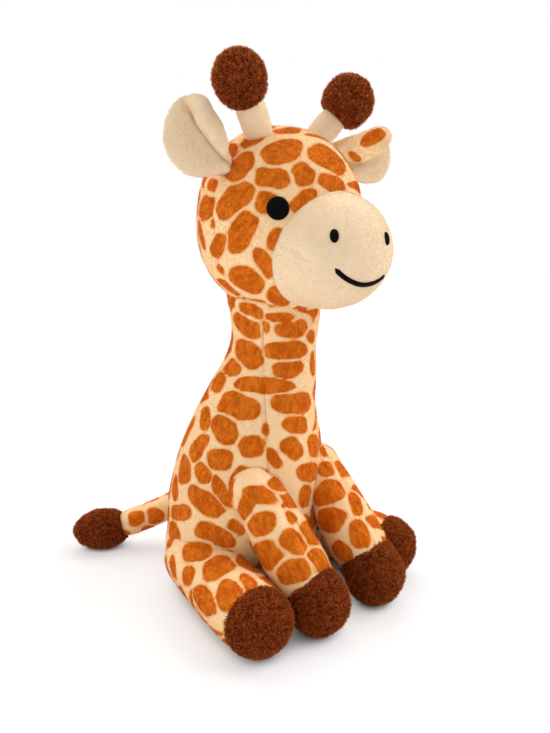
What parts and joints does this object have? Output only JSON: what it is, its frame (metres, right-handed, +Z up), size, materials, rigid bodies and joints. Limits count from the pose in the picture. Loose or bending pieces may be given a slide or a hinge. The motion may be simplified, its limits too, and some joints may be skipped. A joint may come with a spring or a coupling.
{
  "type": "plush giraffe",
  "caption": "Sitting plush giraffe toy with a round stuffed head, cream muzzle, knobbed horns, floppy ears, soft limbs with brown hooves, and a tufted tail.",
  "frame": {"origin": "middle of the seat on the surface that the toy sits on", "axes": "+Z up from the seat to the knobs; the face looks along -Y; +X is the toy's own left side"},
  "size_m": [0.1691, 0.2047, 0.2983],
  "materials": {
    "spotted_plush": "short pile, cream ground with rounded tan patches",
    "cream_plush": "short smooth pile",
    "brown_plush": "curlier pile",
    "thread": "satin-stitch embroidery",
    "fibre": "polyester fibre filling",
    "cotton_bag": "plain cotton"
  },
  "bodies": {
    "trunk": {"trunk": "spotted_plush", "trunk_stuffing": "fibre", "pellet_bag": "cotton_bag"},
    "head": {"head": "spotted_plush", "head_stuffing": "fibre", "muzzle": "cream_plush", "muzzle_stuffing": "fibre", "eye_left": "thread", "eye_right": "thread", "nostril_left": "thread", "nostril_right": "thread", "mouth": "thread"},
    "horn_left": {"horn_stem_left": "cream_plush", "horn_knob_left": "brown_plush"},
    "ear_left": {"ear_back_left": "spotted_plush", "ear_lining_left": "cream_plush"},
    "arm_left": {"arm_left": "spotted_plush", "front_hoof_left": "brown_plush", "arm_stuffing_left": "fibre"},
    "leg_left": {"hind_leg_left": "spotted_plush", "hind_hoof_left": "brown_plush", "leg_stuffing_left": "fibre"},
    "horn_right": {"horn_stem_right": "cream_plush", "horn_knob_right": "brown_plush"},
    "ear_right": {"ear_back_right": "spotted_plush", "ear_lining_right": "cream_plush"},
    "arm_right": {"arm_right": "spotted_plush", "front_hoof_right": "brown_plush", "arm_stuffing_right": "fibre"},
    "leg_right": {"hind_leg_right": "spotted_plush", "hind_hoof_right": "brown_plush", "leg_stuffing_right": "fibre"},
    "tail": {"tail": "spotted_plush", "tail_tuft": "brown_plush"}
  },
  "joints": [
    {"name": "head_nod", "type": "hinge", "parent": "trunk", "child": "head", "pos_m": [0, -0.0215, 0.171], "axis": [1, 0, 0], "range_deg": [-12, 12], "stiffness_Nm_per_rad": 0.35},
    {"name": "horn_left_bend", "type": "hinge", "parent": "head", "child": "horn_left", "pos_m": [0.022, -0.036, 0.26], "axis": [0, 1, 0], "range_deg": [-8, 8], "stiffness_Nm_per_rad": 0.06},
    {"name": "ear_left_bend", "type": "hinge", "parent": "head", "child": "ear_left", "pos_m": [0.039, -0.0295, 0.243], "axis": [0, 0, 1], "range_deg": [-8, 8], "stiffness_Nm_per_rad": 0.03},
    {"name": "arm_left_lift", "type": "hinge", "parent": "trunk", "child": "arm_left", "pos_m": [0.0262, -0.032, 0.07], "axis": [-1, 0, 0], "range_deg": [0, 50], "stiffness_Nm_per_rad": 0.05},
    {"name": "leg_left_splay", "type": "hinge", "parent": "trunk", "child": "leg_left", "pos_m": [0.0416, 0.0092, 0.0183], "axis": [0, 0, 1], "range_deg": [0, 22], "stiffness_Nm_per_rad": 0.08},
    {"name": "horn_right_bend", "type": "hinge", "parent": "head", "child": "horn_right", "pos_m": [-0.022, -0.036, 0.26], "axis": [0, 1, 0], "range_deg": [-8, 8], "stiffness_Nm_per_rad": 0.06},
    {"name": "ear_right_bend", "type": "hinge", "parent": "head", "child": "ear_right", "pos_m": [-0.039, -0.0295, 0.243], "axis": [0, 0, -1], "range_deg": [-8, 8], "stiffness_Nm_per_rad": 0.03},
    {"name": "arm_right_lift", "type": "hinge", "parent": "trunk", "child": "arm_right", "pos_m": [-0.0262, -0.032, 0.07], "axis": [-1, 0, 0], "range_deg": [0, 50], "stiffness_Nm_per_rad": 0.05},
    {"name": "leg_right_splay", "type": "hinge", "parent": "trunk", "child": "leg_right", "pos_m": [-0.0416, 0.0092, 0.0183], "axis": [0, 0, -1], "range_deg": [0, 22], "stiffness_Nm_per_rad": 0.08},
    {"name": "tail_swing", "type": "hinge", "parent": "trunk", "child": "tail", "pos_m": [-0.001, 0.048, 0.04], "axis": [0, 0, -1], "range_deg": [0, 60], "stiffness_Nm_per_rad": 0.03}
  ]
}
